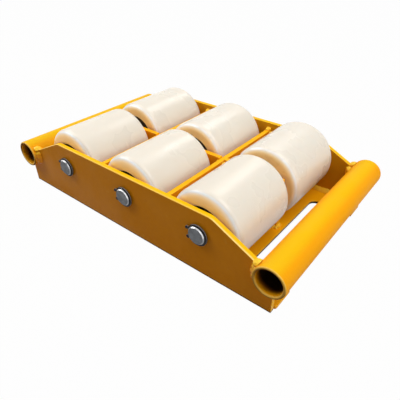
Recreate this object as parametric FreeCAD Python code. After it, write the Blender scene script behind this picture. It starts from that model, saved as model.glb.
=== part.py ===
import FreeCAD, Part
import math
import os
from FreeCAD import Vector

# Machine skate: a welded steel frame that carries six nylon rollers on three fixed axles.
# It lies on its load plate with the rollers up, and is turned over for use.
# X runs along the travel, Y along the axles and Z up. All lengths are in millimetres.
# The origin is under the middle of the load plate.

# Rollers
roller_diameter = 86.0
roller_length = 95.75
roller_edge_round = 8.0
roller_bore_diameter = 44.0
roller_seat_chamfer = 1.2

# Room round the rollers
roller_cross_gap = 5.75
roller_floor_gap = 3.0
roller_centre_gap = 4.25
roller_side_gap = 1.5

# Sealed ball bearings, two in each roller
bearing_outer_diameter = 52.0
bearing_width = 15.0
bearing_recess = 2.0
balls_per_bearing = 7
ball_width_share = 0.635
ball_section_share = 0.595
race_curve_share = 1.04
shoulder_share = 0.6
seal_seat_share = 0.42
seal_inset = 0.4
seal_thickness = 1.2
cage_tip_share = 0.5

# Axles, spacers and retaining rings
axle_diameter = 20.0
axle_overhang = 4.2
axle_end_chamfer = 1.0
spacer_wall = 3.5
ring_standoff = 1.2
ring_thickness = 1.2
ring_groove_depth = 0.5
ring_back_width = 2.7
ring_mouth_width = 1.9
ring_lug_diameter = 4.2
ring_lug_hole = 1.8
ring_lug_reach_share = 0.62
ring_lug_angle = 24.0
ring_mouth_direction = 187.0

# Frame plates
side_plate_thickness = 6.0
centre_plate_thickness = 6.0
cross_plate_thickness = 6.0
load_plate_thickness = 4.0
plate_edge_round = 0.7
side_plate_above_axle = 26.0
cross_plate_drop = 9.5
centre_plate_drop = 8.0
bend_past_axle = 14.5
bend_round = 20.0
plate_end_past_handle = 2.8
load_plate_past_sides = 2.0
ear_width = 27.0
ear_corner_round = 3.0
notch_depth = 51.0
notch_corner_round = 9.0
centre_plate_past_axle = 28.5

# Handle tubes
handle_diameter = 33.7
handle_wall = 3.2
handle_height = 43.0
handle_overhang = 7.0
handle_end_share = 0.4
handle_mouth_share = 0.5
hand_gap = 22.15

# Welds
floor_weld_leg = 5.0
cross_weld_leg = 4.5
centre_weld_leg = 4.5
handle_weld_leg = 4.0
weld_end_gap = 1.5
weld_crown_share = 0.6
handle_weld_margin = 3.0
handle_weld_last_angle = 270.0

# Fits and clearances
axle_gap = 0.05
bearing_seat_gap = 0.02
race_gap = 0.08
seal_lip_gap = 0.15
seal_seat_gap = 0.05
cage_gap = 0.45
ball_pocket_gap = 0.15
ring_groove_gap = 0.05
lap_gap = 0.2
handle_seat_gap = 0.2
weld_root_gap = 0.1
overrun = 2.0
nearly_zero = 1e-4

# Places worked out from the sizes above
roller_radius = roller_diameter / 2
axle_radius = axle_diameter / 2
handle_radius = handle_diameter / 2
handle_bore_radius = handle_radius - handle_wall
handle_end_round = handle_end_share * handle_wall
handle_mouth_round = handle_mouth_share * handle_wall
axle_pitch = roller_diameter + cross_plate_thickness + 2 * roller_cross_gap
axle_height = load_plate_thickness + roller_floor_gap + roller_radius
cross_x = axle_pitch / 2
roller_start = centre_plate_thickness / 2 + roller_centre_gap
roller_end = roller_start + roller_length
side_inner = roller_end + roller_side_gap
side_outer = side_inner + side_plate_thickness
side_top = axle_height + side_plate_above_axle
cross_top = side_top - cross_plate_drop
centre_top = side_top - centre_plate_drop
bend_x = axle_pitch + bend_past_axle
handle_x = axle_pitch + roller_radius + hand_gap + handle_radius
side_end = handle_x + plate_end_past_handle
load_plate_end = side_end + load_plate_past_sides
notch_start = load_plate_end - notch_depth
notch_half_width = side_inner - ear_width
centre_end = axle_pitch + centre_plate_past_axle
lap_height = (load_plate_thickness + cross_top) / 2
axle_hole_radius = axle_radius + axle_gap

# Bearing sizes worked out from the axle, the outer diameter and the width
bearing_outer_radius = bearing_outer_diameter / 2
bearing_section = bearing_outer_radius - axle_radius
ball_diameter = (ball_width_share * bearing_width + ball_section_share * bearing_section) / 2
ball_radius = ball_diameter / 2
ball_pitch_radius = (axle_radius + bearing_outer_radius) / 2
race_radius = race_curve_share * ball_radius
inner_shoulder_radius = ball_pitch_radius - shoulder_share * ball_radius
outer_shoulder_radius = ball_pitch_radius + shoulder_share * ball_radius
seal_seat_radius = outer_shoulder_radius + seal_seat_share * (bearing_outer_radius - outer_shoulder_radius)
seal_depth = seal_inset + seal_thickness
inner_bearing_y = roller_start + bearing_recess + bearing_width / 2
outer_bearing_y = roller_end - bearing_recess - bearing_width / 2

axle_places = {"front": axle_pitch, "middle": 0.0, "rear": -axle_pitch}
side_signs = {"left": 1, "right": -1}
end_signs = {"front": 1, "rear": -1}
along_y = Vector(0, 1, 0)


def save(node, solids):
    """Write one node, a single solid or a group of separate solids."""
    shape = solids[0] if len(solids) == 1 else Part.makeCompound(solids)
    shape.exportStep("parts/" + node + ".step")


def block(x_from, x_to, y_from, y_to, z_from, z_to):
    """A box between two corners."""
    corner = Vector(x_from, y_from, z_from)
    return Part.makeBox(x_to - x_from, y_to - y_from, z_to - z_from, corner)


def rod(radius, y_from, y_to, x, z):
    """A cylinder along Y."""
    return Part.makeCylinder(radius, abs(y_to - y_from), Vector(x, min(y_from, y_to), z), along_y)


def tube(outer_radius, inner_radius, y_from, y_to, x, z):
    """A hollow cylinder along Y."""
    low = min(y_from, y_to)
    high = max(y_from, y_to)
    bore = rod(inner_radius, low - overrun, high + overrun, x, z)
    return rod(outer_radius, low, high, x, z).cut(bore)


def is_straight(edge):
    """Whether an edge is a straight line."""
    return isinstance(edge.Curve, (Part.Line, Part.LineSegment))


def is_arc_of(edge, radius):
    """Whether an edge is an arc of a given radius."""
    return isinstance(edge.Curve, Part.Circle) and abs(edge.Curve.Radius - radius) < nearly_zero


def runs_along(edge, direction):
    """Whether an edge is a straight line along a direction."""
    if not is_straight(edge):
        return False
    span = edge.Vertexes[-1].Point - edge.Vertexes[0].Point
    return abs(span.normalize().dot(direction)) > 1 - nearly_zero


def lies_at(edge, axis, place):
    """Whether all of an edge lies at one place along X (0), Y (1) or Z (2)."""
    box = edge.BoundBox
    low = (box.XMin, box.YMin, box.ZMin)[axis]
    high = (box.XMax, box.YMax, box.ZMax)[axis]
    return abs(low - place) < nearly_zero and abs(high - place) < nearly_zero


def side_plate(side):
    """One long side plate, with its axle holes and a saddle for a handle at each end."""
    outline = [
        Vector(-side_end, 0, 0),
        Vector(side_end, 0, 0),
        Vector(side_end, 0, handle_height),
        Vector(handle_x, 0, handle_height),
        Vector(bend_x, 0, side_top),
        Vector(-bend_x, 0, side_top),
        Vector(-handle_x, 0, handle_height),
        Vector(-side_end, 0, handle_height),
    ]
    low = min(side * side_inner, side * side_outer)
    high = low + side_plate_thickness
    for point in outline:
        point.y = low
    plate = Part.Face(Part.makePolygon(outline + outline[:1])).extrude(along_y * side_plate_thickness)
    bends = [edge for edge in plate.Edges if runs_along(edge, along_y) and lies_at(edge, 2, side_top)]
    plate = plate.makeFillet(bend_round, bends)
    saddle_radius = handle_radius + handle_seat_gap
    for end in end_signs.values():
        plate = plate.cut(rod(saddle_radius, low - overrun, high + overrun, end * handle_x, handle_height))
    outer_edges = [edge for edge in plate.Edges
                   if (lies_at(edge, 1, low) or lies_at(edge, 1, high))
                   and not is_arc_of(edge, saddle_radius)]
    plate = plate.makeFillet(plate_edge_round, outer_edges)
    for axle_x in axle_places.values():
        plate = plate.cut(rod(axle_hole_radius, low - overrun, high + overrun, axle_x, axle_height))
    return plate


def load_plate():
    """The flat plate that the load rests on, with a hand notch at each end."""
    plate = block(-load_plate_end, load_plate_end, -side_inner, side_inner, 0, load_plate_thickness)
    corners = [edge for edge in plate.Edges if runs_along(edge, Vector(0, 0, 1))]
    plate = plate.makeFillet(ear_corner_round, corners)
    for end in end_signs.values():
        near = end * notch_start
        far = end * (load_plate_end + notch_corner_round + overrun)
        notch = block(min(near, far), max(near, far), -notch_half_width, notch_half_width,
                      -overrun, load_plate_thickness + overrun)
        inner_corners = [edge for edge in notch.Edges
                         if runs_along(edge, Vector(0, 0, 1)) and lies_at(edge, 0, near)]
        plate = plate.cut(notch.makeFillet(notch_corner_round, inner_corners))
    rims = [edge for edge in plate.Edges
            if (lies_at(edge, 2, load_plate_thickness) or lies_at(edge, 2, 0))
            and not lies_at(edge, 1, side_inner) and not lies_at(edge, 1, -side_inner)]
    return plate.makeFillet(plate_edge_round, rims)


def centre_plate():
    """The upright plate along the middle, slotted from above for the cross plates."""
    half = centre_plate_thickness / 2
    plate = block(-centre_end, centre_end, -half, half, load_plate_thickness, centre_top)
    rims = [edge for edge in plate.Edges
            if lies_at(edge, 2, centre_top) and runs_along(edge, Vector(1, 0, 0))]
    plate = plate.makeFillet(plate_edge_round, rims)
    slot_half = cross_plate_thickness / 2 + lap_gap
    for end in end_signs.values():
        slot = block(end * cross_x - slot_half, end * cross_x + slot_half, -half - overrun, half + overrun,
                     lap_height, centre_top + overrun)
        plate = plate.cut(slot)
    for axle_x in axle_places.values():
        plate = plate.cut(rod(axle_hole_radius, -half - overrun, half + overrun, axle_x, axle_height))
    return plate


def cross_plate(end):
    """An upright plate between two axles, slotted from below to sit over the centre plate."""
    half = cross_plate_thickness / 2
    plate = block(end * cross_x - half, end * cross_x + half, -side_inner, side_inner,
                  load_plate_thickness, cross_top)
    rims = [edge for edge in plate.Edges if lies_at(edge, 2, cross_top) and runs_along(edge, along_y)]
    plate = plate.makeFillet(plate_edge_round, rims)
    slot_half = centre_plate_thickness / 2 + lap_gap
    slot = block(end * cross_x - half - overrun, end * cross_x + half + overrun, -slot_half, slot_half,
                 load_plate_thickness - overrun, lap_height)
    return plate.cut(slot)


def handle_tube(end):
    """An open tube across one end of the frame, rounded outside and inside at its mouths."""
    reach = side_outer + handle_overhang
    body = tube(handle_radius, handle_bore_radius, -reach, reach, end * handle_x, handle_height)
    for radius, rounding in ((handle_radius, handle_end_round), (handle_bore_radius, handle_mouth_round)):
        rims = [edge for edge in body.Edges
                if is_arc_of(edge, radius) and (lies_at(edge, 1, reach) or lies_at(edge, 1, -reach))]
        body = body.makeFillet(rounding, rims)
    return body


def axle(axle_x):
    """A round pin right across the frame, grooved near each end for a retaining ring."""
    reach = side_outer + axle_overhang
    pin = rod(axle_radius, -reach, reach, axle_x, axle_height)
    ends = [edge for edge in pin.Edges if lies_at(edge, 1, reach) or lies_at(edge, 1, -reach)]
    pin = pin.makeChamfer(axle_end_chamfer, ends)
    groove_start = side_outer + ring_standoff - ring_groove_gap
    groove_end = side_outer + ring_standoff + ring_thickness + ring_groove_gap
    for side in side_signs.values():
        groove = tube(axle_radius + overrun, axle_radius - ring_groove_depth,
                      side * groove_start, side * groove_end, axle_x, axle_height)
        pin = pin.cut(groove)
    return pin


def retaining_ring(axle_x, side):
    """An external retaining ring, wide at the back, with two drilled lugs at its mouth."""
    inner = axle_radius - ring_groove_depth + ring_groove_gap
    offset = (ring_back_width - ring_mouth_width) / 2
    outer = inner + (ring_back_width + ring_mouth_width) / 2
    y_from = side * (side_outer + ring_standoff)
    y_to = side * (side_outer + ring_standoff + ring_thickness)
    cut_from = y_from - side * overrun
    cut_to = y_to + side * overrun
    lug_radius = ring_lug_diameter / 2
    lug_reach = inner + ring_mouth_width + ring_lug_reach_share * lug_radius
    mouth = math.radians(ring_mouth_direction)
    ring = rod(outer, y_from, y_to, axle_x - offset * math.cos(mouth), axle_height - offset * math.sin(mouth))
    lugs = []
    for hand in (-1, 1):
        angle = mouth + hand * math.radians(ring_lug_angle)
        lug_x = axle_x + lug_reach * math.cos(angle)
        lug_z = axle_height + lug_reach * math.sin(angle)
        lugs.append((lug_x, lug_z))
        ring = ring.fuse(rod(lug_radius, y_from, y_to, lug_x, lug_z))
    ring = ring.cut(rod(inner, cut_from, cut_to, axle_x, axle_height))
    for lug_x, lug_z in lugs:
        ring = ring.cut(rod(ring_lug_hole / 2, cut_from, cut_to, lug_x, lug_z))
    half_mouth = lug_reach * math.sin(math.radians(ring_lug_angle)) - lug_radius * ring_lug_reach_share
    wedge = block(0, outer + lug_reach, min(cut_from, cut_to), max(cut_from, cut_to), -half_mouth, half_mouth)
    wedge.rotate(Vector(0, 0, 0), along_y, -ring_mouth_direction)
    wedge.translate(Vector(axle_x, 0, axle_height))
    return ring.cut(wedge)


def bearing_inner_ring(axle_x, middle):
    """The inner ring of a ball bearing, with its ball groove."""
    half = bearing_width / 2
    ring = tube(inner_shoulder_radius, axle_hole_radius, middle - half, middle + half, axle_x, axle_height)
    groove_radius = ball_pitch_radius - ball_radius - race_gap + race_radius
    return ring.cut(Part.makeTorus(groove_radius, race_radius, Vector(axle_x, middle, axle_height), along_y))


def bearing_outer_ring(axle_x, middle):
    """The outer ring of a ball bearing, with its ball groove and a seat for a seal at each face."""
    half = bearing_width / 2
    ring = tube(bearing_outer_radius, outer_shoulder_radius,
                middle - half, middle + half, axle_x, axle_height)
    for face in (-1, 1):
        ring = ring.cut(rod(seal_seat_radius, middle + face * (half - seal_depth),
                            middle + face * (half + overrun), axle_x, axle_height))
    groove_radius = ball_pitch_radius + ball_radius + race_gap - race_radius
    return ring.cut(Part.makeTorus(groove_radius, race_radius, Vector(axle_x, middle, axle_height), along_y))


def bearing_seals(axle_x, middle):
    """The two rubber seals of one bearing."""
    half = bearing_width / 2
    return [tube(seal_seat_radius - seal_seat_gap, inner_shoulder_radius + seal_lip_gap,
                 middle + face * (half - seal_depth), middle + face * (half - seal_inset),
                 axle_x, axle_height)
            for face in (-1, 1)]


def ball_places(axle_x, middle):
    """The middles of the balls of one bearing."""
    turn = 2 * math.pi / balls_per_bearing
    return [Vector(axle_x + ball_pitch_radius * math.cos(turn * index), middle,
                   axle_height + ball_pitch_radius * math.sin(turn * index))
            for index in range(balls_per_bearing)]


def bearing_balls(axle_x, middle):
    """The balls of one bearing."""
    return [Part.makeSphere(ball_radius, place) for place in ball_places(axle_x, middle)]


def bearing_cage(axle_x, middle):
    """A crown cage: a ring behind the balls with fingers between them."""
    back = middle + bearing_width / 2 - seal_depth - cage_gap
    tips = middle - cage_tip_share * ball_radius
    cage = tube(outer_shoulder_radius - cage_gap, inner_shoulder_radius + cage_gap,
                tips, back, axle_x, axle_height)
    for place in ball_places(axle_x, middle):
        outward = place - Vector(axle_x, middle, axle_height)
        cage = cage.cut(Part.makeSphere(ball_radius + ball_pocket_gap, place, outward))
    return cage


def roller(axle_x, side):
    """A solid nylon roller, bored through, with a bearing seat at each end."""
    start = side * roller_start
    end = side * roller_end
    body = rod(roller_radius, start, end, axle_x, axle_height)
    rims = [edge for edge in body.Edges if lies_at(edge, 1, start) or lies_at(edge, 1, end)]
    body = body.makeFillet(roller_edge_round, rims)
    body = body.cut(rod(roller_bore_diameter / 2, start - side * overrun, end + side * overrun,
                        axle_x, axle_height))
    seat_radius = bearing_outer_radius + bearing_seat_gap
    seat_depth = bearing_recess + bearing_width
    for face, inward in ((start, side), (end, -side)):
        body = body.cut(rod(seat_radius, face - inward * overrun, face + inward * seat_depth,
                            axle_x, axle_height))
    mouths = [edge for edge in body.Edges
              if (lies_at(edge, 1, start) or lies_at(edge, 1, end))
              and abs(edge.BoundBox.XLength - 2 * seat_radius) < roller_seat_chamfer]
    return body.makeChamfer(roller_seat_chamfer, mouths)


def spacer_tube(axle_x, side):
    """The tube on the axle that holds the two bearings of a roller apart."""
    half = bearing_width / 2
    return tube(axle_radius + spacer_wall, axle_hole_radius, side * (inner_bearing_y + half),
                side * (outer_bearing_y - half), axle_x, axle_height)


def end_spacers(axle_x, side):
    """The two bushes on the axle, from the bearings of a roller to the plates beside it."""
    half = bearing_width / 2
    outer = axle_radius + spacer_wall
    spans = ((centre_plate_thickness / 2, inner_bearing_y - half), (outer_bearing_y + half, side_inner))
    return [tube(outer, axle_hole_radius, side * near, side * far, axle_x, axle_height)
            for near, far in spans]


def fillet_bead(start, along, first_leg, second_leg):
    """A straight fillet weld with a crowned face, from its root line and its two legs."""
    first = start + first_leg
    second = start + second_leg
    crown = start + (first_leg + second_leg) * weld_crown_share
    outline = [
        Part.LineSegment(start, first).toShape(),
        Part.Arc(first, crown, second).toShape(),
        Part.LineSegment(second, start).toShape(),
    ]
    return Part.Face(Part.Wire(outline)).extrude(along)


def stretches(length):
    """The lengthwise runs of a weld between the cross plates, out to a given length."""
    gap = cross_plate_thickness / 2 + cross_weld_leg + weld_end_gap
    return ((-length, -cross_x - gap), (-cross_x + gap, cross_x - gap), (cross_x + gap, length))


def side_plate_welds():
    """The welds along the inner corners between the load plate and the side plates."""
    beads = []
    for side in side_signs.values():
        for x_from, x_to in stretches(side_end - plate_edge_round):
            beads.append(fillet_bead(Vector(x_from, side * side_inner, load_plate_thickness),
                                     Vector(x_to - x_from, 0, 0), Vector(0, -side * floor_weld_leg, 0),
                                     Vector(0, 0, floor_weld_leg)))
    return beads


def centre_plate_welds():
    """The welds along the foot of the centre plate and across its two ends."""
    beads = []
    half = centre_plate_thickness / 2
    for side in side_signs.values():
        for x_from, x_to in stretches(centre_end):
            beads.append(fillet_bead(Vector(x_from, side * half, load_plate_thickness),
                                     Vector(x_to - x_from, 0, 0), Vector(0, side * centre_weld_leg, 0),
                                     Vector(0, 0, centre_weld_leg)))
    for end in end_signs.values():
        beads.append(fillet_bead(Vector(end * centre_end, -half, load_plate_thickness),
                                 Vector(0, centre_plate_thickness, 0), Vector(end * centre_weld_leg, 0, 0),
                                 Vector(0, 0, centre_weld_leg)))
    return beads


def cross_plate_welds():
    """The upright welds at the ends of the cross plates and where they meet the centre plate."""
    beads = []
    foot = load_plate_thickness + max(floor_weld_leg, centre_weld_leg) + weld_end_gap
    rise = Vector(0, 0, cross_top - weld_end_gap - foot)
    for end in end_signs.values():
        for face in (-1, 1):
            x = end * cross_x + face * cross_plate_thickness / 2
            out = Vector(face * cross_weld_leg, 0, 0)
            for side in side_signs.values():
                inward = Vector(0, -side * cross_weld_leg, 0)
                beads.append(fillet_bead(Vector(x, side * side_inner, foot), rise, out, inward))
                centre_face = Vector(x, side * centre_plate_thickness / 2, foot)
                beads.append(fillet_bead(centre_face, rise, out, inward * -1))
    return beads


def handle_welds():
    """The welds round the handle tubes, on both faces of each side plate."""
    slope = math.atan2(side_top - handle_height, bend_x - handle_x)
    first_angle = slope + math.radians(handle_weld_margin)
    sweep = handle_weld_last_angle - math.degrees(first_angle)
    radial = Vector(math.cos(first_angle), 0, math.sin(first_angle))
    beads = []
    for side in side_signs.values():
        for face, outward in ((side_inner, -side), (side_outer, side)):
            middle = Vector(handle_x, side * face, handle_height)
            root = middle + radial * (handle_radius + weld_root_gap)
            legs = (radial * handle_weld_leg, Vector(0, outward * handle_weld_leg, 0))
            crown = root + (legs[0] + legs[1]) * weld_crown_share
            outline = [
                Part.LineSegment(root, root + legs[0]).toShape(),
                Part.Arc(root + legs[0], crown, root + legs[1]).toShape(),
                Part.LineSegment(root + legs[1], root).toShape(),
            ]
            bead = Part.Face(Part.Wire(outline)).revolve(middle, along_y * -1, sweep)
            beads.append(bead)
            beads.append(bead.mirror(Vector(0, 0, 0), Vector(1, 0, 0)))
    return beads


def build():
    """Make every piece and write it to its own file."""
    os.makedirs("parts", exist_ok=True)
    save("load_plate", [load_plate()])
    save("centre_plate", [centre_plate()])
    for side_name, side in side_signs.items():
        save("side_plate_" + side_name, [side_plate(side)])
    for end_name, end in end_signs.items():
        save("cross_plate_" + end_name, [cross_plate(end)])
        save("handle_tube_" + end_name, [handle_tube(end)])
    save("side_plate_welds", side_plate_welds())
    save("centre_plate_welds", centre_plate_welds())
    save("cross_plate_welds", cross_plate_welds())
    save("handle_welds", handle_welds())
    rings = []
    for axle_name, axle_x in axle_places.items():
        save("axle_" + axle_name, [axle(axle_x)])
        inner_rings = []
        spacers = []
        bushes = []
        for side_name, side in side_signs.items():
            place = axle_name + "_" + side_name
            bearings = (side * inner_bearing_y, side * outer_bearing_y)
            rings.append(retaining_ring(axle_x, side))
            spacers.append(spacer_tube(axle_x, side))
            bushes.extend(end_spacers(axle_x, side))
            inner_rings.extend(bearing_inner_ring(axle_x, middle) for middle in bearings)
            seals = [seal for middle in bearings for seal in bearing_seals(axle_x, middle)]
            balls = [ball for middle in bearings for ball in bearing_balls(axle_x, middle)]
            save("roller_" + place, [roller(axle_x, side)])
            save("bearing_outer_rings_" + place, [bearing_outer_ring(axle_x, middle) for middle in bearings])
            save("bearing_seals_" + place, seals)
            save("bearing_cages_" + place, [bearing_cage(axle_x, middle) for middle in bearings])
            save("bearing_balls_" + place, balls)
        save("bearing_inner_rings_" + axle_name, inner_rings)
        save("bearing_spacers_" + axle_name, spacers)
        save("end_spacers_" + axle_name, bushes)
    save("axle_retaining_rings", rings)


build()
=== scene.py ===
"""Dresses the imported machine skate.

Gives every piece its finish and the welds their ripples, and adds a pale floor, light and a camera.
"""

import logging
import math
import random
from dataclasses import dataclass, field
from enum import Enum
from functools import reduce
from typing import Callable, Iterator, Sequence, Union

import bmesh
import bpy
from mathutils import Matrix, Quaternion, Vector


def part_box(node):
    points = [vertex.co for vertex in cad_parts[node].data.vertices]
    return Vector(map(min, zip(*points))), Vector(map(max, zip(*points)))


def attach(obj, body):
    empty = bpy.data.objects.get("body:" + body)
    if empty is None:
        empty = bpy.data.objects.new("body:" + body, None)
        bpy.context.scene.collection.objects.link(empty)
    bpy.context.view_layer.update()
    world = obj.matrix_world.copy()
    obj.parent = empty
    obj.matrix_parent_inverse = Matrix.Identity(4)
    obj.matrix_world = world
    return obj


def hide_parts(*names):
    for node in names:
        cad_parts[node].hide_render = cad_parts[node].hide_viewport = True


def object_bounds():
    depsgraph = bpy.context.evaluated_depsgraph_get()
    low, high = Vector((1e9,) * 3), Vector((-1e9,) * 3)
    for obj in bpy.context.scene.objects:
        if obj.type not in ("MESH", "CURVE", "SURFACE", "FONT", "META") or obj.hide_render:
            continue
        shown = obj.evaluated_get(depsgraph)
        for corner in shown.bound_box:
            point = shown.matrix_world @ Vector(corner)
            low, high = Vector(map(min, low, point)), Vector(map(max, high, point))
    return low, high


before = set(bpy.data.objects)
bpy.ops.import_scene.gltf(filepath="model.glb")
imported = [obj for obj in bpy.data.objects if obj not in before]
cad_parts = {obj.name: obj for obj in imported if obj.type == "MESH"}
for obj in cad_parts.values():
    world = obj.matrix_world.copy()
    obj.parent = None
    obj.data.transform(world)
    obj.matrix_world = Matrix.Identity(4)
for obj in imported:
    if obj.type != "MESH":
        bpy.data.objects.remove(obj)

CAD_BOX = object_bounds()
LOG = logging.getLogger("machine_skate")
MM = 0.001
QUARTER_TURN = math.pi / 2
FULL_TURN = 2 * math.pi
UP = Vector((0.0, 0.0, 1.0))

Socket = bpy.types.NodeSocket
Inputs = bpy.types.NodeInputs
Outputs = bpy.types.NodeOutputs
Feed = Union[float, Sequence[float], Socket]
Colour = tuple[float, float, float, float]
BeadPlace = tuple[Vector, Vector, Vector]

BLACK: Colour = (0.0, 0.0, 0.0, 1.0)
WHITE: Colour = (1.0, 1.0, 1.0, 1.0)


class Axle(Enum):
    """The three axles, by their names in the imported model."""

    FRONT = "front"
    MIDDLE = "middle"
    REAR = "rear"


class Side(Enum):
    """The two sides of the frame, with the sign of Y on each."""

    LEFT = 1
    RIGHT = -1


class End(Enum):
    """The two ends of the frame, with the sign of X at each."""

    FRONT = 1
    REAR = -1


class Reading(Enum):
    """What a finish reads at a point of a piece, by the name of its socket."""

    PLACE = "Object"
    PLACE_IN_BOX = "Generated"
    FACING = "Normal"


class NodeBench:
    """Adds shader nodes to one node tree and wires them."""

    def __init__(self, tree: bpy.types.NodeTree) -> None:
        """Keeps the tree that the nodes go into."""
        self.tree = tree

    def add(self, kind: str, **settings: object) -> bpy.types.Node:
        """Adds a node.

        Args:
            kind: The node's type name.
            settings: Properties to set on the node.

        Returns:
            The new node.
        """
        node = self.tree.nodes.new(kind)
        for name, value in settings.items():
            setattr(node, name, value)
        return node

    def feed(self, socket: Socket, value: Feed) -> None:
        """Wires a socket to another one, or sets its value.

        Args:
            socket: The socket to fill.
            value: The other socket, or a number, vector or colour.
        """
        if isinstance(value, bpy.types.NodeSocket):
            self.tree.links.new(value, socket)
        else:
            socket.default_value = value

    def math(self, operation: str, *terms: Feed) -> Socket:
        """Adds a math node.

        Args:
            operation: The name of the sum, such as ADD or MULTIPLY.
            terms: Its terms, as numbers or sockets.

        Returns:
            The result's socket.
        """
        node = self.add("ShaderNodeMath", operation=operation)
        for socket, term in zip(node.inputs, terms):
            self.feed(socket, term)
        return node.outputs["Value"]

    def times(self, *terms: Feed) -> Socket:
        """Multiplies the terms, from the first to the last."""
        return reduce(lambda product, term: self.math("MULTIPLY", product, term), terms)

    def plus(self, *terms: Feed) -> Socket:
        """Adds up the terms, from the first to the last."""
        return reduce(lambda total, term: self.math("ADD", total, term), terms)

    def minus(self, first: Feed, second: Feed) -> Socket:
        """Takes the second value away from the first."""
        return self.math("SUBTRACT", first, second)

    def largest(self, *terms: Feed) -> Socket:
        """Keeps the largest of the terms."""
        return reduce(lambda most, term: self.math("MAXIMUM", most, term), terms)

    def absolute(self, value: Feed) -> Socket:
        """Drops the sign of a value."""
        return self.math("ABSOLUTE", value)

    def ramp(self, value: Feed, low: Feed, high: Feed,
             to_low: Feed = 0.0, to_high: Feed = 1.0) -> Socket:
        """Turns a value into one that goes smoothly from one level to another.

        Args:
            value: What is read.
            low: The value at which the result starts to change.
            high: The value at which it has changed.
            to_low: The result up to low.
            to_high: The result from high on.

        Returns:
            The result's socket.
        """
        node = self.add("ShaderNodeMapRange", interpolation_type="SMOOTHSTEP")
        names = ("Value", "From Min", "From Max", "To Min", "To Max")
        for name, term in zip(names, (value, low, high, to_low, to_high)):
            self.feed(node.inputs[name], term)
        return node.outputs["Result"]

    def fade(self, value: Feed, low: Feed, high: Feed) -> Socket:
        """Turns a value into one that goes smoothly from 1 at low to 0 at high."""
        return self.ramp(value, low, high, 1.0, 0.0)

    def between(self, mask: Feed, low: Feed, high: Feed) -> Socket:
        """Goes smoothly from one level to another as a mask goes from 0 to 1."""
        return self.ramp(mask, 0.0, 1.0, low, high)

    def blend(self, mask: Feed, base: Feed, over: Feed) -> Socket:
        """Lays one colour over another.

        Args:
            mask: Where the second colour shows.
            base: The first colour.
            over: The second colour.

        Returns:
            The mixed colour's socket.
        """
        node = self.add("ShaderNodeMix", data_type="RGBA")
        sockets = {socket.identifier: socket for socket in node.inputs}
        self.feed(sockets["Factor_Float"], mask)
        self.feed(sockets["A_Color"], base)
        self.feed(sockets["B_Color"], over)
        return next(socket for socket in node.outputs if socket.identifier == "Result_Color")

    def layers(self, base: Feed, *coats: tuple[Feed, Feed]) -> Socket:
        """Lays coats over a first colour in turn, each given by its mask and its own colour."""
        return reduce(lambda below, coat: self.blend(coat[0], below, coat[1]), coats, base)

    def noise(self, vector: Socket, scale: Feed, detail: float) -> Socket:
        """Adds a noise texture.

        Args:
            vector: The coordinates.
            scale: How many bumps there are to a metre.
            detail: How many finer layers it has.

        Returns:
            The noise's value, about 0.5 on average.
        """
        node = self.add("ShaderNodeTexNoise")
        self.feed(node.inputs["Vector"], vector)
        self.feed(node.inputs["Scale"], scale)
        self.feed(node.inputs["Detail"], detail)
        return node.outputs["Fac"]

    def read(self, reading: Reading) -> Socket:
        """Reads where a point of the piece is, or how its surface is turned."""
        return self.add("ShaderNodeTexCoord").outputs[reading.value]

    def axes(self, reading: Reading) -> tuple[Socket, Socket, Socket]:
        """Reads the same, split into X, Y and Z."""
        return self.split(self.read(reading))

    def split(self, vector: Socket) -> tuple[Socket, Socket, Socket]:
        """Splits a vector.

        Args:
            vector: The vector's socket.

        Returns:
            The sockets of X, Y and Z.
        """
        node = self.add("ShaderNodeSeparateXYZ")
        self.feed(node.inputs[0], vector)
        return node.outputs["X"], node.outputs["Y"], node.outputs["Z"]

    def join(self, *parts: Feed) -> Socket:
        """Joins three values into a vector.

        Args:
            parts: X, Y and Z.

        Returns:
            The vector's socket.
        """
        node = self.add("ShaderNodeCombineXYZ")
        for socket, value in zip(node.inputs, parts):
            self.feed(socket, value)
        return node.outputs[0]

    def bump(self, height: Socket, depth: float, below: Union[Socket, None] = None) -> Socket:
        """Adds a bump of a given depth.

        Args:
            height: The height over the surface, from 0 to 1.
            depth: What a height of 1 stands for, in metres.
            below: The normal that the bump lies on, if there is one.

        Returns:
            The bumped normal's socket.
        """
        node = self.add("ShaderNodeBump")
        self.feed(node.inputs["Distance"], depth)
        self.feed(node.inputs["Height"], height)
        if below is not None:
            self.feed(node.inputs["Normal"], below)
        return node.outputs["Normal"]


@dataclass(frozen=True)
class Effect:
    """A shader node group that several finishes share."""

    name: str
    inputs: tuple[str, ...]
    outputs: tuple[str, ...]

    def draw(self, bench: NodeBench, given: Outputs) -> dict[str, Socket]:
        """Draws the inside of the group.

        Args:
            bench: Where its nodes go.
            given: The group's inputs.

        Returns:
            The sockets that feed its outputs, by name.
        """
        raise NotImplementedError

    def tree(self) -> bpy.types.NodeTree:
        """Makes the group on first use.

        Returns:
            The group's node tree.
        """
        found = bpy.data.node_groups.get(self.name)
        if found is not None:
            return found
        tree = bpy.data.node_groups.new(self.name, "ShaderNodeTree")
        for in_out, names in (("INPUT", self.inputs), ("OUTPUT", self.outputs)):
            for name in names:
                tree.interface.new_socket(name=name, in_out=in_out, socket_type="NodeSocketFloat")
        bench = NodeBench(tree)
        given = bench.add("NodeGroupInput").outputs
        result = bench.add("NodeGroupOutput").inputs
        for name, socket in self.draw(bench, given).items():
            bench.feed(result[name], socket)
        return tree

    def place(self, bench: NodeBench, **values: Feed) -> Outputs:
        """Places the group in a material.

        Args:
            bench: The material's bench.
            values: The group's inputs, by name.

        Returns:
            The group's outputs.
        """
        node = bench.add("ShaderNodeGroup", node_tree=self.tree())
        for name, value in values.items():
            bench.feed(node.inputs[name], value)
        return node.outputs


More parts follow.
